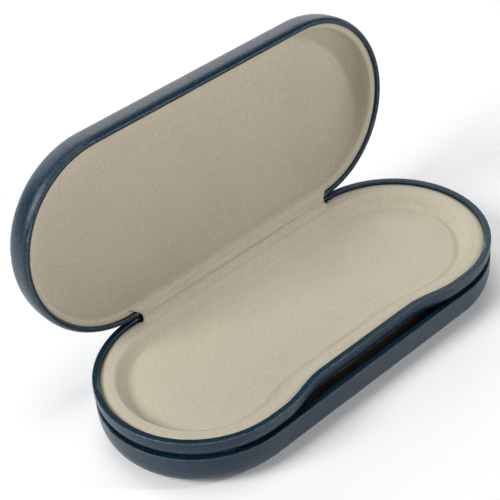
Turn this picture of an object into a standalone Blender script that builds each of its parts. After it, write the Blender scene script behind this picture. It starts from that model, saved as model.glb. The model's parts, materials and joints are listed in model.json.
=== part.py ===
"""Double hard case for glasses: a base shell, a shallow middle tray and a deep lid.

Two hidden steel hinges run along the straight back edge, one between base and tray and one
between tray and lid. The lid is drawn open against its stop, the tray closed on the base.
Lengths are in millimetres up to the point where a mesh is made, which turns them into metres.
Frame: +X along the hinges, -Y to the front with the finger notch, +Z up. The origin is the
centre of the flat underside.
"""
import math

import bmesh
import bpy
from mathutils import Matrix, Vector

MM = 0.001

# Planform: straight sides with round ends, the same for base, tray and lid.
END_RADIUS = 36.0
STRAIGHT_HALF = 46.3
ARC_STEPS = 14

# Heights.
SHELL_DEPTH = 13.5
TRAY_STEP = 7.2
LID_GAP = 0.3
BASE_RIM_Z = SHELL_DEPTH
TRAY_RIM_Z = BASE_RIM_Z + TRAY_STEP
LID_RIM_Z = TRAY_RIM_Z + LID_GAP

# Material thicknesses, and the air between two pieces that touch on the real case.
LEATHER = 0.6
STEEL = 0.5
LINING = 0.8
PAD = 0.6
AIR = 0.3

# Rim: leatherette folded over the steel edge and down its inner side.
RIM_WIDTH = 2.3
FOLD_DEPTH = 1.5
STEEL_TOP = LEATHER + AIR
LID_BEVEL = 0.46
LID_BEVEL_HALF = 53.0

# Deep shells: how far the wall rounds in towards the flat, and how square the corner is.
WALL_ROUND = 16.0
WALL_POWER = 4.0
WALL_STEPS = 8
WALL_SPREAD = 1.5

# Tray wall: straight below its rim, then a quarter ellipse to the underside.
TRAY_DEPTH = 8.1
TRAY_STRAIGHT = 2.6
TRAY_ROUND = 6.0
TRAY_TURN_IN = 9.0
TRAY_WALL_STEPS = 6

# Finger notch in the front of the tray.
NOTCH_DEPTH = 3.5
NOTCH_FLAT_HALF = 21.0
NOTCH_HALF = 42.0
NOTCH_STEPS = 6

# Linings: a flange set below the rim, and a soft wall down to a flat floor.
RECESS = 1.4
LINING_EDGE = RIM_WIDTH + AIR
DEEP_FLANGE = 6.6
DEEP_FLOOR_IN = 15.0
TRAY_FLANGE = 8.0
TRAY_FLOOR_IN = 13.5
TRAY_FLOOR_DEPTH = 5.6
LINING_STEPS = 5
PAD_MARGIN = 1.0

# Hinges: both axes lie just inside the back wall, above the rim that carries them.
AXIS_Y = END_RADIUS - 1.36
AXIS_RISE = 1.75
BASE_AXIS_Z = BASE_RIM_Z + AXIS_RISE
LID_AXIS_Z = TRAY_RIM_Z + AXIS_RISE
LID_OPEN_DEG = 95.0
HINGE_HALF = 45.0
KNUCKLE_COUNT = 5
KNUCKLE_PITCH = 16.0
KNUCKLE_GAP = 0.4
KNUCKLE_RADIUS = 1.05
BORE_RADIUS = 0.62
PIN_RADIUS = 0.52
ROUND_SIDES = 16
LEAF_FRONT_Y = 33.75
LEAF_DEPTH = 6.2
LEAF_OVERLAP = 0.75
RELIEF_CLEARANCE = 0.35
PIN_END = 0.6

# Rivets through leaf and steel wall.
RIVET_X = (-32.0, 0.0, 32.0)
RIVET_DROP = 4.6
TRAY_RIVET_DROP = 2.2
RIVET_RADIUS = 0.6
RIVET_HEAD_RADIUS = 1.2
RIVET_HEAD = 0.35
RIVET_HEAD_OVERLAP = 0.02
RIVET_CLEARANCE = 0.3
RIVET_SIDES = 10

# Snap springs, one on each side of every hinge.
SPRING_X = 16.0
SPRING_WIDTH = 9.0
SPRING_THICK = 0.25
SPRING_Y = 33.05
SPRING_PATH = ((0.0, -5.0), (0.0, -2.6), (-0.1, -1.2), (0.0, -0.2))

# Flexible strips, as (Y, Z) measured from the corner each of them turns round.
STRIP_THICK = 0.5
UPPER_SPINE_PATH = ((-0.1, -2.1), (0.6, -1.3), (0.6, -0.3))
LOWER_SPINE_PATH = ((0.4, -2.1), (0.7, 0.3), (0.4, 2.8))
UPPER_LINING_PATH = ((-4.7, -0.8), (-3.9, -0.4), (-3.7, 1.6), (-3.1, 3.2), (-2.4, 4.6))
LOWER_LINING_PATH = ((-4.6, -0.4), (-4.6, 1.8), (-4.1, 2.4), (-3.7, 1.6), (-3.7, -0.9))

# Windows that the hinges need in the shells and linings, and how far their cutters overrun.
RIM_WINDOW_DROP = 2.5
TRAY_WINDOW_TOP = 4.0
LID_STEEL_WINDOW = 3.0
WINDOW_FRONT_Y = 31.0
LINING_WINDOW_Y = 32.3
OVERRUN = 1.0
OUT_Y = END_RADIUS + 4.0

LEATHER_COLOUR = (0.022, 0.044, 0.070)
LINING_COLOUR = (0.479, 0.434, 0.328)
PAD_COLOUR = (0.75, 0.73, 0.66)
STEEL_COLOUR = (0.52, 0.53, 0.54)
PIN_COLOUR = (0.62, 0.62, 0.63)
SPRING_COLOUR = (0.30, 0.34, 0.42)


def clear_scene():
    for obj in list(bpy.data.objects):
        bpy.data.objects.remove(obj, do_unlink=True)


def make_collection(name):
    collection = bpy.data.collections.new(name)
    bpy.context.scene.collection.children.link(collection)
    return collection


def principled(name, colour, roughness, metallic=0.0):
    material = bpy.data.materials.new(name)
    material.use_nodes = True
    shader = material.node_tree.nodes["Principled BSDF"]
    shader.inputs["Base Color"].default_value = (*colour, 1.0)
    shader.inputs["Roughness"].default_value = roughness
    shader.inputs["Metallic"].default_value = metallic
    return material


clear_scene()
PARTS = make_collection("multi_glasses_organizer")
CUTTERS = make_collection("cutters")


def add_empty(name, location, parent=None):
    """An empty at a joint's axis; location in millimetres, world axes."""
    empty = bpy.data.objects.new(name, None)
    empty.location = Vector(location) * MM
    if parent is not None:
        empty.parent = parent
        empty.location = (Vector(location) - world_mm(parent)) * MM
    PARTS.objects.link(empty)
    return empty


def world_mm(obj):
    """Where an unrotated object stands, in millimetres."""
    place = Vector((0.0, 0.0, 0.0))
    while obj is not None:
        place += obj.location / MM
        obj = obj.parent
    return place


BASE_ROOT = add_empty("base_root", (0.0, 0.0, 0.0))
TRAY_PIVOT = add_empty("tray_pivot", (0.0, AXIS_Y, BASE_AXIS_Z), BASE_ROOT)
LID_PIVOT = add_empty("lid_pivot", (0.0, AXIS_Y, LID_AXIS_Z), TRAY_PIVOT)


def add_object(name, bm, material, parent, smooth_deg=35.0):
    """Turn a bmesh drawn in closed-case millimetres into an object under its joint's empty."""
    pivot = world_mm(parent)
    bmesh.ops.transform(bm, matrix=Matrix.Translation(-pivot), verts=bm.verts)
    bmesh.ops.scale(bm, vec=(MM, MM, MM), verts=bm.verts)
    mesh = bpy.data.meshes.new(name)
    bm.to_mesh(mesh)
    bm.free()
    mesh.materials.append(material)
    mesh.shade_smooth()
    mesh.set_sharp_from_angle(angle=math.radians(smooth_deg))
    obj = bpy.data.objects.new(name, mesh)
    obj.parent = parent
    PARTS.objects.link(obj)
    return obj


def add_solidify(obj, thickness):
    """Thicken an open surface towards its inner side."""
    solidify = obj.modifiers.new("thickness", "SOLIDIFY")
    solidify.thickness = thickness * MM
    solidify.offset = -1.0
    solidify.use_even_offset = True


def cut(obj, cutter):
    boolean = obj.modifiers.new("cut_" + cutter.name, "BOOLEAN")
    boolean.operation = "DIFFERENCE"
    boolean.solver = "EXACT"
    boolean.object = cutter


def join(obj, other):
    boolean = obj.modifiers.new("join_" + other.name, "BOOLEAN")
    boolean.operation = "UNION"
    boolean.solver = "EXACT"
    boolean.object = other


def as_cutter(obj):
    """Keep a helper solid out of the finished part."""
    obj.hide_render = True
    obj.display_type = "WIRE"
    PARTS.objects.unlink(obj)
    CUTTERS.objects.link(obj)
    return obj


# ---------------------------------------------------------------- planform and shells

def notch_shift(x):
    """How far the tray's front wall is set back at x: flat in the middle, S-shaped sides."""
    away = abs(x)
    if away <= NOTCH_FLAT_HALF:
        return NOTCH_DEPTH
    if away >= NOTCH_HALF:
        return 0.0
    turn = math.pi * (away - NOTCH_FLAT_HALF) / (NOTCH_HALF - NOTCH_FLAT_HALF)
    return NOTCH_DEPTH * 0.5 * (1.0 + math.cos(turn))


def planform(offset, notched):
    """Outline points at a distance outside (+) or inside (-) the outer edge."""
    radius = END_RADIUS + offset
    points = []
    for step in range(ARC_STEPS + 1):
        angle = -math.pi / 2.0 + math.pi * step / ARC_STEPS
        points.append((STRAIGHT_HALF + radius * math.cos(angle), radius * math.sin(angle)))
    for step in range(ARC_STEPS + 1):
        angle = math.pi / 2.0 + math.pi * step / ARC_STEPS
        points.append((-STRAIGHT_HALF + radius * math.cos(angle), radius * math.sin(angle)))
    if notched:
        blend = [NOTCH_HALF + (NOTCH_FLAT_HALF - NOTCH_HALF) * step / NOTCH_STEPS
                 for step in range(NOTCH_STEPS + 1)]
        for x in [-x for x in blend] + blend[::-1]:
            points.append((x, -radius + notch_shift(x)))
    return points


def lofted(profile, notched, rim_z, up, capped=True):
    """Open surface through one planform ring per (offset, depth) pair, closed by a flat end.

    The depth runs away from the rim plane, downwards, or upwards when up is true.
    """
    bm = bmesh.new()
    sign = 1.0 if up else -1.0
    rings = []
    for offset, depth in profile:
        rings.append([bm.verts.new((x, y, rim_z + sign * depth)) for x, y in planform(offset, notched)])
    count = len(rings[0])
    for outer, inner in zip(rings, rings[1:]):
        for i in range(count):
            j = (i + 1) % count
            bm.faces.new((outer[i], outer[j], inner[j], inner[i]))
    if capped:
        bm.faces.new(rings[-1])
    return bm


def face_cap(bm, up):
    """Make all faces agree, with the last one, the flat end, looking up or down."""
    bmesh.ops.recalc_face_normals(bm, faces=bm.faces)
    bm.faces.ensure_lookup_table()
    bm.faces[-1].normal_update()
    if (bm.faces[-1].normal.z > 0.0) != up:
        bmesh.ops.reverse_faces(bm, faces=bm.faces)


def deep_wall(inset):
    """Wall and rounded corner of a deep shell, set in from the outer surface by inset."""
    depth = SHELL_DEPTH - inset
    reach = WALL_ROUND - inset
    rows = []
    for step in range(1, WALL_STEPS + 1):
        turn = 0.5 * math.pi * (step / WALL_STEPS) ** WALL_SPREAD
        down = depth * math.sin(turn) ** (2.0 / WALL_POWER)
        inward = reach * (1.0 - max(math.cos(turn), 0.0) ** (2.0 / WALL_POWER))
        rows.append((-inset - inward, down))
    return rows


def tray_wall(inset, last_in):
    """Wall of the tray: straight, then round to the underside, then flat to last_in."""
    rows = [(-inset, TRAY_STRAIGHT)]
    for step in range(1, TRAY_WALL_STEPS + 1):
        turn = 0.5 * math.pi * step / TRAY_WALL_STEPS
        inward = (TRAY_ROUND - inset) * (1.0 - math.cos(turn))
        down = (TRAY_DEPTH - inset - TRAY_STRAIGHT) * math.sin(turn)
        rows.append((-inset - inward, TRAY_STRAIGHT + down))
    if last_in > TRAY_ROUND:
        rows.append((-last_in, TRAY_DEPTH - inset))
    return rows


def folded_rim():
    """The leatherette's inner edge, its fold over the steel and the crisp outer edge."""
    return [(-RIM_WIDTH, FOLD_DEPTH + LEATHER), (-RIM_WIDTH, 0.0), (0.0, 0.0)]


def lining_profile(flange_in, floor_in, floor_depth):
    """Flange, then a soft step down to the floor."""
    rows = [(-LINING_EDGE, RECESS), (-flange_in, RECESS)]
    for step in range(1, LINING_STEPS + 1):
        share = step / LINING_STEPS
        fall = 0.5 - 0.5 * math.cos(math.pi * share)
        rows.append((-flange_in - (floor_in - flange_in) * share,
                     RECESS + (floor_depth - RECESS) * fall))
    return rows


def deep_floor_depth():
    stack = LEATHER + AIR + STEEL + AIR + PAD + AIR + LINING
    return SHELL_DEPTH - stack


# ---------------------------------------------------------------- plain solids

def box(name, low, high, parent, material):
    """Axis-aligned block between two corners, in closed-case millimetres."""
    bm = bmesh.new()
    bmesh.ops.create_cube(bm, size=1.0)
    size = Vector(high) - Vector(low)
    centre = (Vector(high) + Vector(low)) / 2.0
    bmesh.ops.scale(bm, vec=size, verts=bm.verts)
    bmesh.ops.translate(bm, vec=centre, verts=bm.verts)
    return add_object(name, bm, material, parent)


def cylinder(name, radius, start, end, parent, material, sides=ROUND_SIDES):
    """Round bar between two points on a line along X or Y."""
    bm = bmesh.new()
    start = Vector(start)
    end = Vector(end)
    length = (end - start).length
    bmesh.ops.create_cone(bm, cap_ends=True, segments=sides, radius1=radius, radius2=radius,
                          depth=length)
    turn = Vector((0.0, 0.0, 1.0)).rotation_difference(end - start).to_matrix().to_4x4()
    bmesh.ops.transform(bm, matrix=Matrix.Translation((start + end) / 2.0) @ turn, verts=bm.verts)
    return add_object(name, bm, material, parent)


def prism(name, section, half, parent, material):
    """Straight bar along X with a section given as (Y, Z) corners."""
    bm = bmesh.new()
    near = [bm.verts.new((-half, y, z)) for y, z in section]
    far = [bm.verts.new((half, y, z)) for y, z in section]
    bm.faces.new(near)
    bm.faces.new(far[::-1])
    for i in range(len(section)):
        j = (i + 1) % len(section)
        bm.faces.new((near[j], near[i], far[i], far[j]))
    bmesh.ops.recalc_face_normals(bm, faces=bm.faces)
    return add_object(name, bm, material, parent)


def strip(name, path, x_low, x_high, thickness, parent, material):
    """Sheet strip: a path in the YZ plane drawn out along X, then thickened."""
    bm = bmesh.new()
    row = [bm.verts.new((x_low, y, z)) for y, z in path]
    edges = [bm.edges.new(pair) for pair in zip(row, row[1:])]
    result = bmesh.ops.extrude_edge_only(bm, edges=edges)
    moved = [item for item in result["geom"] if isinstance(item, bmesh.types.BMVert)]
    bmesh.ops.translate(bm, vec=(x_high - x_low, 0.0, 0.0), verts=moved)
    obj = add_object(name, bm, material, parent)
    add_solidify(obj, thickness)
    obj.modifiers["thickness"].offset = 0.0
    return obj


# ---------------------------------------------------------------- materials

def leather(name):
    return principled(name, LEATHER_COLOUR, 0.42)


def suede(name):
    return principled(name, LINING_COLOUR, 0.95)


def steel(name):
    return principled(name, STEEL_COLOUR, 0.35, 1.0)


# ---------------------------------------------------------------- windows for the hinges

def window(name, low_y, high_y, low_z, high_z, parent):
    """Cutter over the hinge's length."""
    obj = box(name, (-HINGE_HALF, low_y, low_z), (HINGE_HALF, high_y, high_z), parent,
              CUTTER_MATERIAL)
    return as_cutter(obj)


CUTTER_MATERIAL = principled("cutter", (0.8, 0.1, 0.1), 0.5)


def bevel_back_edge(cover):
    """Bevel the lid's back edge past the window, so it clears the tray's rim as it swings."""
    far = LID_BEVEL + OVERRUN
    section = [(END_RADIUS - far, LID_RIM_Z - OVERRUN), (END_RADIUS + OVERRUN, LID_RIM_Z - OVERRUN),
               (END_RADIUS + OVERRUN, LID_RIM_Z + far)]
    cut(cover, as_cutter(prism("lid_bevel", section, LID_BEVEL_HALF, LID_PIVOT, CUTTER_MATERIAL)))


# ---------------------------------------------------------------- deep shells: base and lid

def deep_shell(prefix, rim_z, up, parent):
    """Cover, steel shell, floor pad and lining of the base or of the lid."""
    sign = 1.0 if up else -1.0

    surface = lofted(folded_rim() + deep_wall(0.0), False, rim_z, up)
    face_cap(surface, up)
    cover = add_object(prefix + "_cover", surface, leather(prefix + "_leather"), parent)
    add_solidify(cover, LEATHER)

    surface = lofted([(-STEEL_TOP, STEEL_TOP)] + deep_wall(STEEL_TOP), False, rim_z, up)
    face_cap(surface, up)
    shell = add_object(prefix + "_steel_shell", surface, steel(prefix + "_steel"), parent)
    add_solidify(shell, STEEL)

    floor = deep_floor_depth()
    surface = lofted(lining_profile(DEEP_FLANGE, DEEP_FLOOR_IN, floor), False, rim_z, up)
    face_cap(surface, not up)
    lining = add_object(prefix + "_lining", surface, suede(prefix + "_suede"), parent)
    add_solidify(lining, LINING)

    pad_top = floor + LINING + AIR
    surface = lofted([(-DEEP_FLOOR_IN - PAD_MARGIN, pad_top)], False, rim_z, up)
    face_cap(surface, not up)
    pad = add_object(prefix + "_pad", surface, principled(prefix + "_foam", PAD_COLOUR, 0.9), parent)
    add_solidify(pad, PAD)

    rim_cut = sorted((rim_z - sign * OVERRUN, rim_z + sign * RIM_WINDOW_DROP))
    cut(cover, window(prefix + "_rim_window", LEAF_FRONT_Y - OVERRUN, OUT_Y, *rim_cut, parent))
    lining_cut = sorted((rim_z, rim_z + sign * (RECESS + LINING + OVERRUN)))
    cut(lining, window(prefix + "_lining_window", LINING_WINDOW_Y, OUT_Y, *lining_cut, parent))
    return cover, shell


# ---------------------------------------------------------------- tray

def tray_pan():
    """Cover, steel pan, lining and the lining of the underside."""
    surface = lofted(folded_rim() + tray_wall(0.0, TRAY_TURN_IN), True, TRAY_RIM_Z, False, capped=False)
    flat_end(surface)
    cover = add_object("tray_cover", surface, leather("tray_leather"), TRAY_PIVOT)
    add_solidify(cover, LEATHER)

    surface = lofted([(-STEEL_TOP, STEEL_TOP)] + tray_wall(STEEL_TOP, 0.0), True, TRAY_RIM_Z, False)
    face_cap(surface, False)
    pan = add_object("tray_steel_pan", surface, steel("tray_steel"), TRAY_PIVOT)
    add_solidify(pan, STEEL)

    surface = lofted(lining_profile(TRAY_FLANGE, TRAY_FLOOR_IN, TRAY_FLOOR_DEPTH), True, TRAY_RIM_Z,
                     False)
    face_cap(surface, True)
    lining = add_object("tray_lining", surface, suede("tray_suede"), TRAY_PIVOT)
    add_solidify(lining, LINING)

    surface = lofted([(-TRAY_TURN_IN - AIR, TRAY_DEPTH)], True, TRAY_RIM_Z, False)
    face_cap(surface, False)
    under = add_object("tray_under_lining", surface, suede("tray_under_suede"), TRAY_PIVOT)
    add_solidify(under, LEATHER)

    rim_low = TRAY_RIM_Z - RIM_WINDOW_DROP
    low_top = TRAY_RIM_Z - TRAY_WINDOW_TOP
    cut(cover, window("tray_rim_window", LEAF_FRONT_Y - OVERRUN, OUT_Y, rim_low, TRAY_RIM_Z + OVERRUN,
                      TRAY_PIVOT))
    low_end = TRAY_RIM_Z - TRAY_DEPTH - OVERRUN
    low = window("tray_low_window", WINDOW_FRONT_Y, OUT_Y, low_end, low_top, TRAY_PIVOT)
    cut(cover, low)
    cut(pan, low)
    lining_low = TRAY_RIM_Z - RECESS - LINING - OVERRUN
    cut(lining, window("tray_lining_window", LINING_WINDOW_Y, OUT_Y, lining_low, TRAY_RIM_Z, TRAY_PIVOT))
    return pan


def flat_end(bm):
    """Make the faces of an uncapped loft agree, with its last, flat ring looking down."""
    bmesh.ops.recalc_face_normals(bm, faces=bm.faces)
    lowest = min(bm.faces, key=lambda face: face.calc_center_median().z)
    lowest.normal_update()
    if lowest.normal.z > 0.0:
        bmesh.ops.reverse_faces(bm, faces=bm.faces)


# ---------------------------------------------------------------- hinges

def knuckle_spans(odd):
    """X ranges of every second knuckle along the hinge."""
    spans = []
    for index in range(KNUCKLE_COUNT):
        if index % 2 != int(odd):
            continue
        middle = (index - (KNUCKLE_COUNT - 1) / 2.0) * KNUCKLE_PITCH
        half = (KNUCKLE_PITCH - KNUCKLE_GAP) / 2.0
        spans.append((middle - half, middle + half))
    return spans


def add_knuckles(leaf, name, odd, axis_z, parent, material):
    """Roll knuckles onto a leaf and bore them for the pin."""
    for number, (low, high) in enumerate(knuckle_spans(odd), start=1):
        roll = cylinder("%s_roll_%d" % (name, number), KNUCKLE_RADIUS, (low, AXIS_Y, axis_z),
                        (high, AXIS_Y, axis_z), parent, material)
        join(leaf, as_cutter(roll))
    reach = KNUCKLE_COUNT * KNUCKLE_PITCH
    bore = cylinder(name + "_bore", BORE_RADIUS, (-reach, AXIS_Y, axis_z), (reach, AXIS_Y, axis_z),
                    parent, material)
    cut(leaf, as_cutter(bore))


def relieve(leaf, name, odd, axis_z, parent):
    """Cut the plate back beside the other leaf's knuckles."""
    clear = KNUCKLE_RADIUS + RELIEF_CLEARANCE
    for number, (low, high) in enumerate(knuckle_spans(not odd), start=1):
        gap = box("%s_relief_%d" % (name, number),
                  (low - KNUCKLE_GAP, LEAF_FRONT_Y - OVERRUN, axis_z - clear),
                  (high + KNUCKLE_GAP, OUT_Y, axis_z + clear), parent, CUTTER_MATERIAL)
        cut(leaf, as_cutter(gap))


def hinge_length_half():
    return KNUCKLE_COUNT * KNUCKLE_PITCH / 2.0 - KNUCKLE_GAP / 2.0


def leaf_plate(name, low_z, high_z, parent, material):
    half = hinge_length_half()
    return box(name, (-half, LEAF_FRONT_Y, low_z), (half, LEAF_FRONT_Y + STEEL, high_z), parent,
               material)


def rivets(prefix, z, leaf, shell, parent):
    """Rivets through a leaf and the steel wall behind it, each its own piece."""
    wall_y = END_RADIUS - STEEL_TOP
    for number, x in enumerate(RIVET_X, start=1):
        name = "%s_rivet_%d" % (prefix, number)
        material = steel(name)
        rivet = cylinder(name, RIVET_RADIUS, (x, LEAF_FRONT_Y - RIVET_CLEARANCE, z), (x, wall_y, z),
                         parent, material, RIVET_SIDES)
        head_y = LEAF_FRONT_Y - RIVET_CLEARANCE
        head = cylinder(name + "_head", RIVET_HEAD_RADIUS, (x, head_y - RIVET_HEAD, z),
                        (x, head_y + RIVET_HEAD_OVERLAP, z), parent, material, RIVET_SIDES)
        join(rivet, as_cutter(head))
        hole = cylinder(name + "_hole", RIVET_RADIUS + RIVET_CLEARANCE, (x, LEAF_FRONT_Y - OVERRUN, z),
                        (x, END_RADIUS - LEATHER, z), parent, material, RIVET_SIDES)
        as_cutter(hole)
        cut(leaf, hole)
        cut(shell, hole)


def hinge_pin(name, axis_z, parent):
    half = hinge_length_half() + PIN_END
    cylinder(name, PIN_RADIUS, (-half, AXIS_Y, axis_z), (half, AXIS_Y, axis_z), parent,
             principled(name, PIN_COLOUR, 0.25, 1.0))


def from_corner(path, corner_y, corner_z):
    return [(corner_y + y, corner_z + z) for y, z in path]


def snap_springs(prefix, axis_z, parent):
    """Flat springs that stand on the lower leaf and press on the other leaf's knuckles."""
    for side, word in ((-1.0, "left"), (1.0, "right")):
        name = "%s_snap_spring_%s" % (prefix, word)
        low_x = side * SPRING_X - SPRING_WIDTH / 2.0
        strip(name, from_corner(SPRING_PATH, SPRING_Y, axis_z), low_x, low_x + SPRING_WIDTH,
              SPRING_THICK, parent, principled(name, SPRING_COLOUR, 0.3, 1.0))


def hinges(base_shell, tray_shell, lid_shell):
    """Base leaf, double tray leaf, lid leaf, two pins, springs and rivets."""
    base_leaf = leaf_plate("base_hinge_leaf", BASE_RIM_Z - LEAF_DEPTH, BASE_AXIS_Z - LEAF_OVERLAP,
                           BASE_ROOT, steel("base_leaf_steel"))
    relieve(base_leaf, "base_leaf", True, BASE_AXIS_Z, BASE_ROOT)
    add_knuckles(base_leaf, "base_leaf", True, BASE_AXIS_Z, BASE_ROOT, CUTTER_MATERIAL)
    rivets("base", BASE_RIM_Z - RIVET_DROP, base_leaf, base_shell, BASE_ROOT)

    tray_leaf = leaf_plate("tray_hinge_leaf", BASE_AXIS_Z + LEAF_OVERLAP, LID_AXIS_Z - LEAF_OVERLAP,
                           TRAY_PIVOT, steel("tray_leaf_steel"))
    for name, axis_z in (("tray_leaf_low", BASE_AXIS_Z), ("tray_leaf_high", LID_AXIS_Z)):
        relieve(tray_leaf, name, False, axis_z, TRAY_PIVOT)
    for name, axis_z in (("tray_leaf_low", BASE_AXIS_Z), ("tray_leaf_high", LID_AXIS_Z)):
        add_knuckles(tray_leaf, name, False, axis_z, TRAY_PIVOT, CUTTER_MATERIAL)
    rivets("tray", TRAY_RIM_Z - TRAY_RIVET_DROP, tray_leaf, tray_shell, TRAY_PIVOT)

    lid_leaf = leaf_plate("lid_hinge_leaf", LID_AXIS_Z + LEAF_OVERLAP, LID_RIM_Z + LEAF_DEPTH,
                          LID_PIVOT, steel("lid_leaf_steel"))
    relieve(lid_leaf, "lid_leaf", True, LID_AXIS_Z, LID_PIVOT)
    add_knuckles(lid_leaf, "lid_leaf", True, LID_AXIS_Z, LID_PIVOT, CUTTER_MATERIAL)
    rivets("lid", LID_RIM_Z + RIVET_DROP, lid_leaf, lid_shell, LID_PIVOT)

    hinge_pin("lower_hinge_pin", BASE_AXIS_Z, BASE_ROOT)
    hinge_pin("upper_hinge_pin", LID_AXIS_Z, TRAY_PIVOT)
    snap_springs("lower", BASE_AXIS_Z, BASE_ROOT)
    snap_springs("upper", LID_AXIS_Z, TRAY_PIVOT)


# ---------------------------------------------------------------- flexible strips at the hinges

def hinge_strips():
    """Leatherette spines outside and lining strips inside, drawn as they lie at rest."""
    half = HINGE_HALF - AIR
    for name, path, rim_z in (("upper_spine", UPPER_SPINE_PATH, TRAY_RIM_Z),
                              ("lower_spine", LOWER_SPINE_PATH, BASE_RIM_Z)):
        strip(name, from_corner(path, END_RADIUS, rim_z), -half, half, LEATHER, TRAY_PIVOT,
              leather(name + "_leather"))
    for name, path, rim_z in (("upper_hinge_lining", UPPER_LINING_PATH, TRAY_RIM_Z),
                              ("lower_hinge_lining", LOWER_LINING_PATH, BASE_RIM_Z)):
        strip(name, from_corner(path, END_RADIUS, rim_z), -half, half, STRIP_THICK, TRAY_PIVOT,
              suede(name + "_suede"))


BASE_SHELL = deep_shell("base", BASE_RIM_Z, False, BASE_ROOT)[1]
TRAY_SHELL = tray_pan()
LID_COVER, LID_SHELL = deep_shell("lid", LID_RIM_Z, True, LID_PIVOT)
bevel_back_edge(LID_COVER)
cut(LID_SHELL, window("lid_steel_window", LEAF_FRONT_Y, OUT_Y, LID_RIM_Z, LID_RIM_Z + LID_STEEL_WINDOW,
                      LID_PIVOT))
hinges(BASE_SHELL, TRAY_SHELL, LID_SHELL)
hinge_strips()

LID_PIVOT.rotation_euler = (math.radians(-LID_OPEN_DEG), 0.0, 0.0)
bpy.context.view_layer.update()
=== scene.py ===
"""Looks of the double glasses case: grained leatherette over the three shells, suede linings with
their soft walls, the pleated lining across the hinge, and the steel inside.

Lengths are millimetres in the row frame until a mesh is made. Every shell is drawn in the closed
case; the lid's pieces are then turned open about the lid's hinge, as the frame has it at rest.
"""
import json
import math

import bmesh
import bpy
import numpy as np
from mathutils import Matrix, Vector, noise


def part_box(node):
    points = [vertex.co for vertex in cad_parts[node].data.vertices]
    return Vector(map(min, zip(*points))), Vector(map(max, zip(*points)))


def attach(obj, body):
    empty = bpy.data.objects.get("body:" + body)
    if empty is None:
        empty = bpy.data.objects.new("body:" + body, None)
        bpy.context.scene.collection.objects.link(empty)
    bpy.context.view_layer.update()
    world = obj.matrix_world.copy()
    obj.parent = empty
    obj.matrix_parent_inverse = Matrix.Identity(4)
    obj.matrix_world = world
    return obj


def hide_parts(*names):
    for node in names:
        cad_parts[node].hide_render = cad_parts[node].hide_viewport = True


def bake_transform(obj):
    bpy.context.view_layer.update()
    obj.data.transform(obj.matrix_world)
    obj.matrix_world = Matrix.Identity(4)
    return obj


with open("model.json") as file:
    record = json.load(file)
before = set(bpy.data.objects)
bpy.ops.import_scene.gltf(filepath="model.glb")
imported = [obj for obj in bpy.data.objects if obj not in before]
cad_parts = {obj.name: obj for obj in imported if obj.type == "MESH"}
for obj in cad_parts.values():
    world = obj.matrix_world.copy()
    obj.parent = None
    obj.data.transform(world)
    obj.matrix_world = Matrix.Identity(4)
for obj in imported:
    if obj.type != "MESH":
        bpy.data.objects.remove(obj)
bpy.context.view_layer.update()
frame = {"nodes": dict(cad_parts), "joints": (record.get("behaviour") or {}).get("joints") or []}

MM = 0.001

# ---------------------------------------------------------------- sizes read from the frame


def high(node):
    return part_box(node)[1] / MM


JOINTS = {joint["name"]: joint for joint in frame["joints"]}
HALF_LENGTH = high("base_cover").x
RADIUS = high("base_cover").y
STRAIGHT = HALF_LENGTH - RADIUS
BASE_RIM = high("base_cover").z
TRAY_RIM = high("tray_cover").z
LID_GAP = 0.3
LID_RIM = TRAY_RIM + LID_GAP
AXIS_Y = JOINTS["lid_hinge"]["pos_m"][1] / MM
LID_AXIS_Z = JOINTS["lid_hinge"]["pos_m"][2] / MM
TRAY_AXIS_Z = JOINTS["tray_hinge"]["pos_m"][2] / MM
LID_OPEN = math.radians(JOINTS["lid_hinge"]["range_deg"][1])

# Leatherette and rim.
SHEET = 0.6
RIM = 2.3
EDGE = 0.38
FOLD = 2.1
DEPTH = BASE_RIM
ROUND_IN = 16.0
POWER = 4.0
WALL_TOP = 3.6
TRAY_DEPTH = 8.1
TRAY_STRAIGHT = 2.6
TRAY_ROUND = 6.0
TRAY_TURN_IN = 9.0

# Finger notch.
NOTCH = 3.5
NOTCH_FLAT = 21.0
NOTCH_END = 42.0
NOTCH_FADE = 20.0

# Hinge zone of the rims.
TIP_X = 44.8
TIP_SHIFT = 0.6
TIP_LENGTH = 2.6
DIP = 2.5
DIP_REACH = 6.0
RIM_NARROWING = 0.62
PULL_X = 47.0
PULL_LENGTH = 3.0

# Linings.
RECESS = 1.3
TIGHT_EDGE = ((-0.35, 0.08), (-0.65, 0.3), (-0.85, 0.7), (-0.95, 1.3))
BASE_RECESS = 3.8
BASE_FOLD = 4.6
FLANGE_OUT = RIM + 0.06
FLANGE_IN = 3.9
FRONT_FLANGE_IN = 2.8
FRONT_WALL_END = 76.0
FRONT_WALL_FADE = 34.0
WALL_FOOT = 14.4
LINING = 0.8

# Samples along the outline.
ARC_COUNT = 60
SIDE_COUNT = 64

LEATHER = (0.003, 0.022, 0.042)
# Colour of the painted highlight drawn as a dashed lighter line along the rims' sharp edges.
PAINTED_GLINT = (0.16, 0.20, 0.23)
SUEDE = (0.560, 0.512, 0.405)


# ---------------------------------------------------------------- outline and lofting

def smooth(t):
    t = np.clip(t, 0.0, 1.0)
    return t * t * (3.0 - 2.0 * t)


def outline():
    """Centres of curvature and outward normals around the planform, counter-clockwise."""
    centres = []
    normals = []
    for k in range(ARC_COUNT):
        angle = -math.pi / 2.0 + math.pi * k / ARC_COUNT
        centres.append((STRAIGHT, 0.0))
        normals.append((math.cos(angle), math.sin(angle)))
    for k in range(SIDE_COUNT):
        centres.append((STRAIGHT * (1.0 - 2.0 * k / SIDE_COUNT), 0.0))
        normals.append((0.0, 1.0))
    for k in range(ARC_COUNT):
        angle = math.pi / 2.0 + math.pi * k / ARC_COUNT
        centres.append((-STRAIGHT, 0.0))
        normals.append((math.cos(angle), math.sin(angle)))
    for k in range(SIDE_COUNT):
        centres.append((-STRAIGHT * (1.0 - 2.0 * k / SIDE_COUNT), 0.0))
        normals.append((0.0, -1.0))
    return np.array(centres), np.array(normals)


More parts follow.
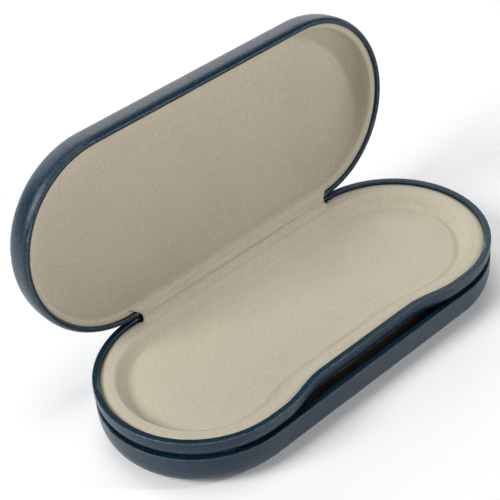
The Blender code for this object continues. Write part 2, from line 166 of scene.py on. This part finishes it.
CENTRES, NORMALS = outline()
COUNT = len(CENTRES)
BACK = NORMALS[:, 1] > 0.0
FRONT = NORMALS[:, 1] < -0.9999


def notch_shift(x):
    """How far the front edge of the tray is set back at x."""
    away = np.abs(x)
    turn = np.clip((away - NOTCH_FLAT) / (NOTCH_END - NOTCH_FLAT), 0.0, 1.0)
    return NOTCH * 0.5 * (1.0 + np.cos(math.pi * turn))


def hinge_share(edge_x=TIP_X, length=TIP_LENGTH):
    """1 along the hinge, 0 elsewhere on the outline, with a soft step at the two tips."""
    outer_x = CENTRES[:, 0] + RADIUS * NORMALS[:, 0]
    share = smooth((edge_x - np.abs(outer_x - TIP_SHIFT)) / length)
    return np.where(BACK, share, 0.0)


HINGE = hinge_share()
LINING_PULL = hinge_share(PULL_X, PULL_LENGTH)
OUTER_X = np.abs(CENTRES[:, 0] + RADIUS * NORMALS[:, 0])
FRONT_WALL = np.where(NORMALS[:, 1] < 0.0, smooth((FRONT_WALL_END - OUTER_X) / FRONT_WALL_FADE), 0.0)


def rings_to_points(offsets, depths, rim_z, up, notched):
    """World points of M rings; offsets and depths are M values or M by COUNT arrays."""
    offsets = np.array(offsets, float)
    depths = np.array(depths, float)
    if offsets.ndim == 1:
        offsets = np.repeat(offsets[:, None], COUNT, axis=1)
    if depths.ndim == 1:
        depths = np.repeat(depths[:, None], COUNT, axis=1)
    radius = RADIUS + offsets
    x = CENTRES[None, :, 0] + radius * NORMALS[None, :, 0]
    y = CENTRES[None, :, 1] + radius * NORMALS[None, :, 1]
    if notched:
        fade = smooth(radius / NOTCH_FADE)
        y = y + np.where(FRONT, notch_shift(x) * fade, 0.0)
    z = rim_z + (depths if up else -depths)
    return np.stack([x, y, z], axis=2)


def loft(name, points, closed=False):
    """Mesh through rings of points. A closed loft joins its last ring to its first."""
    rows, count = points.shape[:2]
    verts = points.reshape(-1, 3)
    faces = []
    for row in range(rows if closed else rows - 1):
        below = (row + 1) % rows
        for k in range(count):
            n = (k + 1) % count
            faces.append((row * count + k, row * count + n, below * count + n, below * count + k))
    mesh = bpy.data.meshes.new(name)
    mesh.from_pydata([tuple(v) for v in verts], [], faces)
    return finish_mesh(name, mesh)


def finish_mesh(name, mesh):
    """Weld, drop what has no area, turn the faces outward and scale to metres."""
    bm = bmesh.new()
    bm.from_mesh(mesh)
    bmesh.ops.remove_doubles(bm, verts=bm.verts, dist=1e-4)
    bmesh.ops.dissolve_degenerate(bm, edges=bm.edges, dist=1e-5)
    bmesh.ops.recalc_face_normals(bm, faces=bm.faces)
    if bm.calc_volume(signed=True) < 0.0:
        bmesh.ops.reverse_faces(bm, faces=bm.faces)
    bmesh.ops.scale(bm, vec=(MM, MM, MM), verts=bm.verts)
    bm.to_mesh(mesh)
    bm.free()
    mesh.shade_smooth()
    obj = bpy.data.objects.new(name, mesh)
    bpy.context.scene.collection.objects.link(obj)
    return obj


def open_lid(obj):
    """Turn a piece drawn in the closed case to where the lid is at rest."""
    pivot = Vector((0.0, AXIS_Y, LID_AXIS_Z)) * MM
    turn = Matrix.Translation(pivot) @ Matrix.Rotation(-LID_OPEN, 4, "X") @ Matrix.Translation(-pivot)
    obj.data.transform(turn)
    return obj


def displace(obj, amount, size, seed=0.0):
    """Move the surface along its normals by smooth noise; amount and size in millimetres."""
    mesh = obj.data
    shift = Vector((seed, seed * 1.7, -seed))
    normals = [v.normal.copy() for v in mesh.vertices]
    for vertex, normal in zip(mesh.vertices, normals):
        value = noise.noise(vertex.co / (size * MM) + shift)
        vertex.co += normal * value * amount * MM
    mesh.update()


# ---------------------------------------------------------------- profiles (offset, depth)

def line(start, end, count, first=True):
    """Points along a straight piece of a profile."""
    steps = np.linspace(0.0, 1.0, count)
    if not first:
        steps = steps[1:]
    return [(start[0] + (end[0] - start[0]) * s, start[1] + (end[1] - start[1]) * s) for s in steps]


def arc(centre, radius, start_deg, end_deg, count):
    """Points along a round piece of a profile."""
    angles = np.radians(np.linspace(start_deg, end_deg, count))
    return [(centre[0] + radius * math.cos(a), centre[1] + radius * math.sin(a)) for a in angles]


def dome(inset, count):
    """From the middle of the flat to the wall: superellipse corner of a deep shell."""
    depth = DEPTH - inset
    reach = ROUND_IN - inset
    rows = line((-RADIUS, depth), (-ROUND_IN, depth), 7)
    for step in range(1, count):
        turn = 0.5 * math.pi * (1.0 - step / count) ** 1.5
        down = depth * math.sin(turn) ** (2.0 / POWER)
        inward = reach * (1.0 - math.cos(turn) ** (2.0 / POWER))
        if down < WALL_TOP:
            break
        rows.append((-inset - inward, down))
    return rows


def tray_side(inset, count):
    """From the inner edge of the turn-in, round the corner and up the wall."""
    rows = line((-TRAY_TURN_IN, TRAY_DEPTH - inset), (-TRAY_ROUND, TRAY_DEPTH - inset), 4)
    for step in range(1, count + 1):
        turn = 0.5 * math.pi * (1.0 - step / count)
        inward = (TRAY_ROUND - inset) * (1.0 - math.cos(turn))
        down = (TRAY_DEPTH - inset - TRAY_STRAIGHT) * math.sin(turn)
        rows.append((-inset - inward, TRAY_STRAIGHT + down))
    rows.append((-inset, TRAY_STRAIGHT * 0.75))
    return rows


def rim_profile(fold, outer):
    """Over the rim from its outer edge, down the inner side of the fold and back up inside it."""
    rows = list(outer)
    flat_end = -RIM + EDGE
    rows += line((rows[-1][0] - 0.15, 0.01), (flat_end - 0.05, 0.05), 5)
    rows += arc((flat_end, EDGE + 0.05), EDGE, -100.0, -180.0, 5)
    rows += [(-RIM, 0.9), (-RIM, 1.5), (-RIM, fold), (-RIM + 0.2, fold + 0.08), (-RIM + SHEET, fold),
             (-RIM + SHEET, SHEET + 0.6), (-SHEET - 0.6, SHEET + 0.6), (-SHEET, SHEET + 1.4)]
    return rows


CRISP_OUTER = [(0.0, 1.3), (0.0, EDGE + 0.2)] + arc((-EDGE, EDGE), EDGE, 0.0, -90.0, 6)
SLOPED_OUTER = [(-0.01, 3.0), (-0.06, 2.2), (-0.2, 1.5), (-0.42, 0.95), (-0.68, 0.5), (-0.86, 0.24),
                (-1.0, 0.09), (-1.16, 0.02)]


def cover_rings(side, inner_side, fold, outer):
    """Closed loop of a cover's section, with the rim lowered and narrowed along the hinge."""
    loop = side + rim_profile(fold, outer) + inner_side[::-1]
    offsets = np.array([row[0] for row in loop])
    depths = np.array([row[1] for row in loop])
    near_rim = np.clip(1.0 - depths / DIP_REACH, 0.0, 1.0)
    lowered = depths[:, None] + DIP * HINGE[None, :] * near_rim[:, None]
    on_rim = (depths[:, None] < fold + 0.5) * (offsets[:, None] > -RIM - 0.1)
    narrow = 1.0 - RIM_NARROWING * HINGE[None, :] * on_rim
    return offsets[:, None] * narrow, lowered


# ---------------------------------------------------------------- materials

class Nodes:
    """Short helper to wire a node tree."""

    def __init__(self, name):
        self.material = bpy.data.materials.new(name)
        self.material.use_nodes = True
        self.tree = self.material.node_tree
        self.shader = self.tree.nodes["Principled BSDF"]

    def add(self, kind, **values):
        node = self.tree.nodes.new(kind)
        for key, value in values.items():
            if key in node.inputs:
                node.inputs[key].default_value = value
            else:
                setattr(node, key, value)
        return node

    def link(self, source, target):
        self.tree.links.new(source, target)

    def coordinates(self):
        return self.add("ShaderNodeTexCoord").outputs["Object"]

    def noise(self, vector, scale, detail=4.0, roughness=0.5, distortion=0.0):
        node = self.add("ShaderNodeTexNoise", Scale=scale, Detail=detail, Roughness=roughness,
                        Distortion=distortion)
        self.link(vector, node.inputs["Vector"])
        return node.outputs["Fac"]

    def ramp(self, source, stops):
        node = self.add("ShaderNodeValToRGB")
        elements = node.color_ramp.elements
        while len(elements) < len(stops):
            elements.new(0.5)
        for element, (position, colour) in zip(elements, stops):
            element.position = position
            element.color = (*colour, 1.0)
        self.link(source, node.inputs["Fac"])
        return node.outputs["Color"]

    def map_range(self, source, low, high_value, to_low, to_high):
        node = self.add("ShaderNodeMapRange")
        for index, value in enumerate((low, high_value, to_low, to_high), start=1):
            node.inputs[index].default_value = value
        self.link(source, node.inputs[0])
        return node.outputs[0]

    def math(self, operation, first, second):
        node = self.add("ShaderNodeMath", operation=operation)
        for index, value in enumerate((first, second)):
            if isinstance(value, (int, float)):
                node.inputs[index].default_value = value
            else:
                self.link(value, node.inputs[index])
        return node.outputs[0]

    def bump(self, height, strength, distance, previous=None):
        node = self.add("ShaderNodeBump", Strength=strength, Distance=distance)
        self.link(height, node.inputs["Height"])
        if previous is not None:
            self.link(previous, node.inputs["Normal"])
        return node.outputs["Normal"]


def shade(colour, factor):
    return tuple(min(1.0, channel * factor) for channel in colour)


def leatherette(name):
    """Navy leatherette: small pebbled cells, finer pores, slow variation, and a painted highlight: a
    dashed lighter line along sharp edges.
    """
    nodes = Nodes(name)
    at = nodes.coordinates()
    cells = nodes.add("ShaderNodeTexVoronoi", Scale=1250.0, Randomness=1.0, feature="DISTANCE_TO_EDGE")
    nodes.link(at, cells.inputs["Vector"])
    crease = nodes.map_range(cells.outputs["Distance"], 0.0, 0.25, 0.0, 1.0)
    pores = nodes.noise(at, 2200.0, 3.0)
    wrinkle = nodes.noise(at, 520.0, 4.0, 0.6, 0.6)
    slow = nodes.noise(at, 60.0, 3.0)
    tone = nodes.math("ADD", nodes.math("MULTIPLY", slow, 0.6), nodes.math("MULTIPLY", wrinkle, 0.4))
    colour = nodes.ramp(tone, [(0.35, shade(LEATHER, 0.82)), (0.65, shade(LEATHER, 1.22))])
    # Painted highlight: pointiness finds the sharp rim edges, and noise breaks the line into dashes.
    # The base colour is mixed toward a lighter tone there to stand in for the glint of light on those
    # edges.
    edge = nodes.add("ShaderNodeNewGeometry").outputs["Pointiness"]
    broken = nodes.map_range(nodes.noise(at, 850.0, 3.0), 0.40, 0.60, 0.35, 1.0)
    glint_mask = nodes.math("MULTIPLY", nodes.map_range(edge, 0.512, 0.532, 0.0, 0.55), broken)
    glint_paint = nodes.add("ShaderNodeMixRGB", Color2=(*PAINTED_GLINT, 1.0))
    nodes.link(glint_mask, glint_paint.inputs["Fac"])
    nodes.link(colour, glint_paint.inputs["Color1"])
    nodes.link(glint_paint.outputs["Color"], nodes.shader.inputs["Base Color"])
    nodes.link(nodes.map_range(pores, 0.3, 0.7, 0.23, 0.36), nodes.shader.inputs["Roughness"])
    height = nodes.math("ADD", crease, nodes.math("MULTIPLY", pores, 0.6))
    first = nodes.bump(wrinkle, 0.5, 0.00016)
    nodes.link(nodes.bump(height, 0.6, 0.00006, first), nodes.shader.inputs["Normal"])
    nodes.shader.inputs["Specular IOR Level"].default_value = 0.33
    return nodes.material


def suede(name):
    """Beige suede: short nap in soft patches, brushed roughly one way."""
    nodes = Nodes(name)
    at = nodes.coordinates()
    brushed = nodes.add("ShaderNodeMapping")
    brushed.inputs["Scale"].default_value = (1.0, 0.5, 0.5)
    nodes.link(at, brushed.inputs["Vector"])
    patches = nodes.noise(at, 30.0, 3.0, 0.5)
    nap = nodes.noise(brushed.outputs["Vector"], 2400.0, 3.0, 0.7)
    fibre = nodes.noise(at, 4200.0, 2.0)
    mixed = nodes.math("ADD", nodes.math("MULTIPLY", patches, 0.2), nodes.math("MULTIPLY", nap, 0.8))
    colour = nodes.ramp(mixed, [(0.32, shade(SUEDE, 0.84)), (0.68, shade(SUEDE, 1.14))])
    nodes.link(colour, nodes.shader.inputs["Base Color"])
    nodes.shader.inputs["Roughness"].default_value = 0.95
    nodes.shader.inputs["Specular IOR Level"].default_value = 0.1
    nodes.shader.inputs["Sheen Weight"].default_value = 0.05
    nodes.shader.inputs["Sheen Roughness"].default_value = 0.5
    first = nodes.bump(nap, 0.8, 0.0002)
    nodes.link(nodes.bump(fibre, 0.4, 0.00006, first), nodes.shader.inputs["Normal"])
    return nodes.material


def steel(name, colour, roughness, streak):
    """Sheet steel with rolling marks along X and faint mottling."""
    nodes = Nodes(name)
    at = nodes.coordinates()
    stretch = nodes.add("ShaderNodeMapping")
    stretch.inputs["Scale"].default_value = (streak, 1.0, 1.0)
    nodes.link(at, stretch.inputs["Vector"])
    lines = nodes.noise(stretch.outputs["Vector"], 1800.0, 3.0)
    mottle = nodes.noise(at, 120.0, 3.0)
    tone = nodes.ramp(mottle, [(0.3, shade(colour, 0.88)), (0.7, shade(colour, 1.08))])
    nodes.link(tone, nodes.shader.inputs["Base Color"])
    rough = nodes.map_range(lines, 0.3, 0.7, roughness * 0.8, roughness * 1.25)
    nodes.link(rough, nodes.shader.inputs["Roughness"])
    nodes.shader.inputs["Metallic"].default_value = 1.0
    nodes.link(nodes.bump(lines, 0.25, 0.00003), nodes.shader.inputs["Normal"])
    return nodes.material


def foam(name):
    """Open-cell foam sheet."""
    nodes = Nodes(name)
    at = nodes.coordinates()
    cells = nodes.add("ShaderNodeTexVoronoi", Scale=1600.0)
    nodes.link(at, cells.inputs["Vector"])
    tone = nodes.ramp(cells.outputs["Distance"], [(0.1, (0.42, 0.41, 0.35)), (0.6, (0.74, 0.72, 0.65))])
    nodes.link(tone, nodes.shader.inputs["Base Color"])
    nodes.shader.inputs["Roughness"].default_value = 0.95
    nodes.link(nodes.bump(cells.outputs["Distance"], 0.6, 0.0002), nodes.shader.inputs["Normal"])
    return nodes.material


def paint(obj, material):
    obj.data.materials.clear()
    obj.data.materials.append(material)


# ---------------------------------------------------------------- covers

def deep_cover(name, rim_z, up, fold, outer):
    offsets, depths = cover_rings(dome(0.0, 34), dome(SHEET, 12), fold, outer)
    obj = loft(name, rings_to_points(offsets, depths, rim_z, up, False))
    displace(obj, 0.05, 9.0, rim_z)
    return obj


def tray_cover():
    side = tray_side(0.0, 16)
    inner = tray_side(SHEET, 8)
    offsets, depths = cover_rings(side, inner, FOLD, CRISP_OUTER)
    obj = loft("tray_leather", rings_to_points(offsets, depths, TRAY_RIM, False, True), closed=True)
    displace(obj, 0.04, 9.0, 3.0)
    return obj


leather_outside = leatherette("leatherette")

base_leather = deep_cover("base_leather", BASE_RIM, False, BASE_FOLD, CRISP_OUTER)
paint(base_leather, leather_outside)
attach(base_leather, "base")
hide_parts("base_cover")

lid_leather = open_lid(deep_cover("lid_leather", LID_RIM, True, FOLD, SLOPED_OUTER))
paint(lid_leather, leather_outside)
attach(lid_leather, "lid")
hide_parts("lid_cover")

tray_leather = tray_cover()
paint(tray_leather, leather_outside)
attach(tray_leather, "tray")
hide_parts("tray_cover")


# ---------------------------------------------------------------- linings

def soft_wall(start, end, lean, count):
    """S-shaped wall from a flange to a floor; a lean above 1 keeps it high for longer."""
    rows = []
    for step in range(1, count + 1):
        share = step / count
        fall = 0.5 - 0.5 * math.cos(math.pi * share ** lean)
        rows.append((start[0] + (end[0] - start[0]) * share, start[1] + (end[1] - start[1]) * fall))
    return rows


def steep_wall(start, end, count):
    """Tight edge, then a quarter ellipse down to the floor."""
    rows = [(start[0] + step[0], start[1] + step[1]) for step in TIGHT_EDGE]
    top = rows[-1]
    for step in range(1, count - len(rows) + 1):
        turn = 0.5 * math.pi * step / (count - len(TIGHT_EDGE))
        rows.append((top[0] + (end[0] - top[0]) * (1.0 - math.cos(turn)),
                     top[1] + (end[1] - top[1]) * math.sin(turn)))
    return rows


def deep_lining_profile(recess, floor, flange_in):
    """Narrow flange, a deep steep wall and a flat floor."""
    flange = (-flange_in, recess + 0.15)
    foot = (-WALL_FOOT, floor)
    rows = line((-FLANGE_OUT, recess), flange, 4)
    rows += steep_wall(flange, foot, 26)
    rows += line(rows[-1], (-RADIUS, floor), 9, first=False)
    return rows


def deep_lining_profiles(recess, floor):
    """The wall all round, with a narrower flange along the front."""
    return [(deep_lining_profile(recess, floor, FLANGE_IN), None),
            (deep_lining_profile(recess, floor, FRONT_FLANGE_IN), FRONT_WALL)]


def tray_lining_profile(floor):
    """Wide flange, a low, soft step with a shallow groove at its foot, and the padded floor."""
    flange = (-6.6, RECESS + 0.1)
    rows = line((-FLANGE_OUT, RECESS + 0.1), flange, 6)
    rows[2] = (rows[2][0], RECESS - 0.05)
    rows[3] = (rows[3][0], RECESS - 0.08)
    rows += soft_wall(flange, (-11.4, floor + 0.35), 1.1, 20)
    rows += [(-12.6, floor + 0.3), (-14.5, floor + 0.15), (-17.0, floor)]
    rows += line(rows[-1], (-RADIUS, floor), 7, first=False)
    return rows


def lining(name, profiles, rim_z, up, notched):
    """Closed sheet: the visible side, mixed from its profiles round the outline, and a back side."""
    def ring_values(rows):
        return np.array(rows[::-1] + [(offset, depth + LINING) for offset, depth in rows[::2]])

    plain = ring_values(profiles[0][0])[:, :, None]
    mixed = plain + np.zeros(COUNT)
    for rows, share in profiles[1:]:
        mixed = mixed + (ring_values(rows)[:, :, None] - plain) * share
    offsets, depths = mixed[:, 0, :], mixed[:, 1, :]
    pull = LINING_PULL[None, :] * (offsets > -RIM - 1.3)
    offsets = offsets - pull * (1.3 + RIM + offsets)
    obj = loft(name, rings_to_points(offsets, depths, rim_z, up, notched))
    displace(obj, 0.10, 14.0, rim_z + 5.0)
    return obj


suede_inside = suede("suede")
LID_FLOOR = DEPTH - 3.4
TRAY_FLOOR = 5.5

base_suede = lining("base_suede", deep_lining_profiles(BASE_RECESS, LID_FLOOR), BASE_RIM, False, False)
paint(base_suede, suede_inside)
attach(base_suede, "base")
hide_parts("base_lining")

lid_suede = open_lid(lining("lid_suede", deep_lining_profiles(RECESS, LID_FLOOR), LID_RIM, True, False))
paint(lid_suede, suede_inside)
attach(lid_suede, "lid")
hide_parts("lid_lining")

tray_suede = lining("tray_suede", [(tray_lining_profile(TRAY_FLOOR), None)], TRAY_RIM, False, True)
paint(tray_suede, suede_inside)
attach(tray_suede, "tray")
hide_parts("tray_lining")


# ---------------------------------------------------------------- underside of the tray

def under_lining():
    rows = line((-RADIUS, TRAY_DEPTH - 0.55), (-TRAY_TURN_IN - 0.3, TRAY_DEPTH - 0.55), 4)
    rows += line((-TRAY_TURN_IN - 0.15, TRAY_DEPTH - 0.2), (-TRAY_TURN_IN - 0.5, TRAY_DEPTH), 3)
    rows += line((-TRAY_TURN_IN - 2.0, TRAY_DEPTH), (-RADIUS, TRAY_DEPTH), 8)
    offsets = [row[0] for row in rows]
    depths = [row[1] for row in rows]
    obj = loft("tray_under_suede", rings_to_points(offsets, depths, TRAY_RIM, False, True))
    displace(obj, 0.05, 14.0, 2.0)
    return obj


tray_under = under_lining()
paint(tray_under, suede_inside)
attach(tray_under, "tray")
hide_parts("tray_under_lining")


# ---------------------------------------------------------------- strips across the hinges

def catmull(points, per_span):
    """Smooth curve through points in the YZ plane."""
    points = [np.array(p, float) for p in points]
    padded_points = [2 * points[0] - points[1]] + points + [2 * points[-1] - points[-2]]
    result = []
    for a, b, c, d in zip(padded_points, padded_points[1:], padded_points[2:], padded_points[3:]):
        for step in range(per_span):
            t = step / per_span
            result.append(0.5 * (2 * b + (c - a) * t + (2 * a - 5 * b + 4 * c - d) * t * t
                                 + (3 * b - a - 3 * c + d) * t ** 3))
    result.append(points[-1])
    return np.array(result)


def strip(name, path, half, thickness, flare=0.0, pleats=()):
    """Soft strip along X over a path in YZ.

    The path's two sides run on past the ends by flare, and pleats are soft grooves along X,
    each given as its place along the path and its depth.
    """
    steps = 80
    tangent = np.gradient(path, axis=0)
    tangent /= np.linalg.norm(tangent, axis=1)[:, None]
    normal = np.stack([-tangent[:, 1], tangent[:, 0]], axis=1)
    share = np.linspace(0.0, 1.0, len(path))
    loops = []
    for u in np.linspace(-1.0, 1.0, steps + 1):
        end = float(smooth((abs(u) - 0.88) / 0.12))
        lift = np.zeros(len(path))
        for place, depth in pleats:
            wander = 0.025 * noise.noise(Vector((4.0 * u, place, 0.0)))
            centre = 0.5 + (place - 0.5) * (1.0 - 0.45 * u * u) + wander
            lift -= depth * (1.0 - 0.6 * u * u) * np.exp(-((share - centre) / 0.065) ** 2)
        lift += 0.1 * noise.noise(Vector((u * 4.0, 3.0, 0.0))) * np.sin(math.pi * share)
        front = path + normal * (lift - 0.28 * end ** 3)[:, None]
        back = path - normal * (thickness - 0.1 * end)
        x = TIP_SHIFT + u * half + math.copysign(flare, u) * end * np.abs(2.0 * share - 1.0) ** 1.5
        section = np.concatenate([front, back[::-1]])
        loops.append(np.column_stack([np.concatenate([x, x[::-1]]), section]))
    loops = np.array(loops)
    rows, count = loops.shape[:2]
    faces = []
    for row in range(rows - 1):
        for k in range(count):
            n = (k + 1) % count
            faces.append((row * count + k, row * count + n,
                          (row + 1) * count + n, (row + 1) * count + k))
    faces.append(tuple(range(count)))
    faces.append(tuple((rows - 1) * count + k for k in range(count)))
    mesh = bpy.data.meshes.new(name)
    mesh.from_pydata([tuple(v) for v in loops.reshape(-1, 3)], [], faces)
    return finish_mesh(name, mesh)


HINGE_HALF = 45.7



upper_path = catmull([(28.4, TRAY_RIM - 1.75), (29.0, TRAY_RIM - 1.6),
                      (30.4, TRAY_RIM - 1.3), (31.4, TRAY_RIM - 0.7),
                      (31.95, TRAY_RIM + 0.3), (32.3, TRAY_RIM + 1.6), (32.9, TRAY_RIM + 3.0),
                      (33.8, TRAY_RIM + 4.2), (34.6, TRAY_RIM + 4.75), (35.2, TRAY_RIM + 4.95)], 8)
upper_suede = strip("upper_hinge_suede", upper_path, HINGE_HALF - 1.5, 0.5, flare=6.4,
                    pleats=((0.46, 0.34), (0.68, 0.42)))
paint(upper_suede, suede_inside)
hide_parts("upper_hinge_lining")
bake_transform(upper_suede)


def spine_path(points, axis_z):
    """Points given from the hinge's axis, outward and up."""
    return catmull([(AXIS_Y + y, axis_z + z) for y, z in points], 6)


upper_spine_path = spine_path([(1.30, -4.9), (1.36, -4.0), (1.42, -2.9), (1.44, -2.2), (1.38, -1.8),
                               (1.05, -1.62), (0.5, -1.60)], LID_AXIS_Z)[::-1]
upper_spine = strip("upper_spine_leather", upper_spine_path, HINGE_HALF - 0.4, 0.45)
paint(upper_spine, leather_outside)
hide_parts("upper_spine")
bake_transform(upper_spine)

lower_spine_path = spine_path([(1.30, -4.9), (1.38, -4.0), (1.46, -2.4), (1.52, -0.8), (1.46, 0.5),
                               (1.25, 1.4), (1.05, 2.1)], TRAY_AXIS_Z)[::-1]
lower_spine = strip("lower_spine_leather", lower_spine_path, HINGE_HALF - 0.4, 0.45)
paint(lower_spine, leather_outside)
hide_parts("lower_spine")
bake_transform(lower_spine)

lower_path = catmull([(31.1, BASE_RIM - 2.5), (31.2, BASE_RIM - 1.4),
                      (31.5, BASE_RIM + 0.6), (31.7, BASE_RIM + 2.0),
                      (32.2, BASE_RIM + 2.5), (32.7, BASE_RIM + 1.9), (32.6, BASE_RIM + 0.2),
                      (32.3, BASE_RIM - 1.3), (32.2, BASE_RIM - 2.2)], 7)
lower_suede = strip("lower_hinge_suede", lower_path, HINGE_HALF - 1.2, 0.35)
paint(lower_suede, suede_inside)
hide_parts("lower_hinge_lining")
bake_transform(lower_suede)


# ---------------------------------------------------------------- what stays from the frame

plain_steel = steel("pressed_steel", (0.50, 0.51, 0.52), 0.38, 0.04)
bright_steel = steel("bright_steel", (0.62, 0.62, 0.63), 0.24, 0.1)
spring_steel = steel("spring_steel", (0.26, 0.30, 0.40), 0.28, 0.1)
pad_foam = foam("foam_sheet")
for node_name, node in frame["nodes"].items():
    if node_name.endswith("_pad"):
        paint(node, pad_foam)
    elif "snap_spring" in node_name:
        paint(node, spring_steel)
    elif "pin" in node_name or "rivet" in node_name:
        paint(node, bright_steel)
    elif "steel" in node_name or "leaf" in node_name:
        paint(node, plain_steel)


# ---------------------------------------------------------------- floor, light and camera

def area_light(name, place, target, size, power):
    data = bpy.data.lights.new(name, "AREA")
    data.shape = "RECTANGLE"
    data.size = size[0]
    data.size_y = size[1]
    data.energy = power
    obj = bpy.data.objects.new(name, data)
    obj.location = place
    obj.rotation_euler = (Vector(target) - Vector(place)).to_track_quat("-Z", "Y").to_euler()
    bpy.context.scene.collection.objects.link(obj)
    return obj


def make_floor():
    bm = bmesh.new()
    bmesh.ops.create_grid(bm, x_segments=2, y_segments=2, size=4.0)
    mesh = bpy.data.meshes.new("floor")
    bm.to_mesh(mesh)
    bm.free()
    obj = bpy.data.objects.new("floor", mesh)
    bpy.context.scene.collection.objects.link(obj)
    nodes = Nodes("floor_white")
    nodes.shader.inputs["Base Color"].default_value = (0.95, 0.95, 0.95, 1.0)
    nodes.shader.inputs["Roughness"].default_value = 0.6
    nodes.shader.inputs["Emission Color"].default_value = (1.0, 1.0, 1.0, 1.0)
    nodes.shader.inputs["Emission Strength"].default_value = 0.07
    paint(obj, nodes.material)


def make_world():
    """Soft surround, brighter near the horizon than overhead."""
    world = bpy.data.worlds.new("studio")
    world.use_nodes = True
    tree = world.node_tree
    background = tree.nodes["Background"]
    coordinates = tree.nodes.new("ShaderNodeTexCoord")
    split = tree.nodes.new("ShaderNodeSeparateXYZ")
    ramp = tree.nodes.new("ShaderNodeValToRGB")
    ramp.color_ramp.elements[0].position = 0.05
    ramp.color_ramp.elements[0].color = (1.0, 1.0, 1.0, 1.0)
    ramp.color_ramp.elements[1].position = 0.75
    ramp.color_ramp.elements[1].color = (0.30, 0.31, 0.32, 1.0)
    tree.links.new(coordinates.outputs["Generated"], split.inputs["Vector"])
    tree.links.new(split.outputs["Z"], ramp.inputs["Fac"])
    tree.links.new(ramp.outputs["Color"], background.inputs["Color"])
    background.inputs["Strength"].default_value = 0.12
    bpy.context.scene.world = world


def make_camera():
    azimuth = math.radians(-39.9)
    elevation = math.radians(37.6)
    roll = math.radians(-5.7)
    distance = 0.4937
    data = bpy.data.cameras.new("camera")
    data.sensor_width = 36.0
    data.lens = 98.1
    data.clip_start = 0.01
    obj = bpy.data.objects.new("camera", data)
    back = Vector((math.sin(azimuth) * math.cos(elevation), -math.cos(azimuth) * math.cos(elevation),
                   math.sin(elevation)))
    right = Vector((math.cos(azimuth), math.sin(azimuth), 0.0))
    up = back.cross(right)
    side = right * math.cos(roll) + up * math.sin(roll)
    top = up * math.cos(roll) - right * math.sin(roll)
    target = Vector((6.56, 32.4, TRAY_RIM)) * MM
    rotation = Matrix((side, top, back)).transposed().to_4x4()
    obj.matrix_world = Matrix.Translation(target + back * distance) @ rotation
    bpy.context.scene.collection.objects.link(obj)
    bpy.context.scene.camera = obj


make_floor()
make_world()
make_camera()
bpy.context.scene.view_settings.view_transform = "Standard"
area_light("main", (-0.92, 0.20, 0.78), (0.0, 0.0, 0.02), (0.5, 0.5), 11.6)
area_light("top", (0.0, 0.10, 1.2), (0.0, 0.0, 0.02), (0.5, 0.4), 2.9)
area_light("glint", (0.55, -0.72, 0.62), (0.0, 0.0, 0.03), (0.09, 0.07), 3.0)
area_light("fill", (0.30, -1.2, 0.30), (0.0, 0.0, 0.06), (0.6, 0.3), 3.0)
area_light("backdrop", (0.6, 1.3, 0.6), (0.0, 0.0, 0.05), (2.4, 1.0), 15.5)
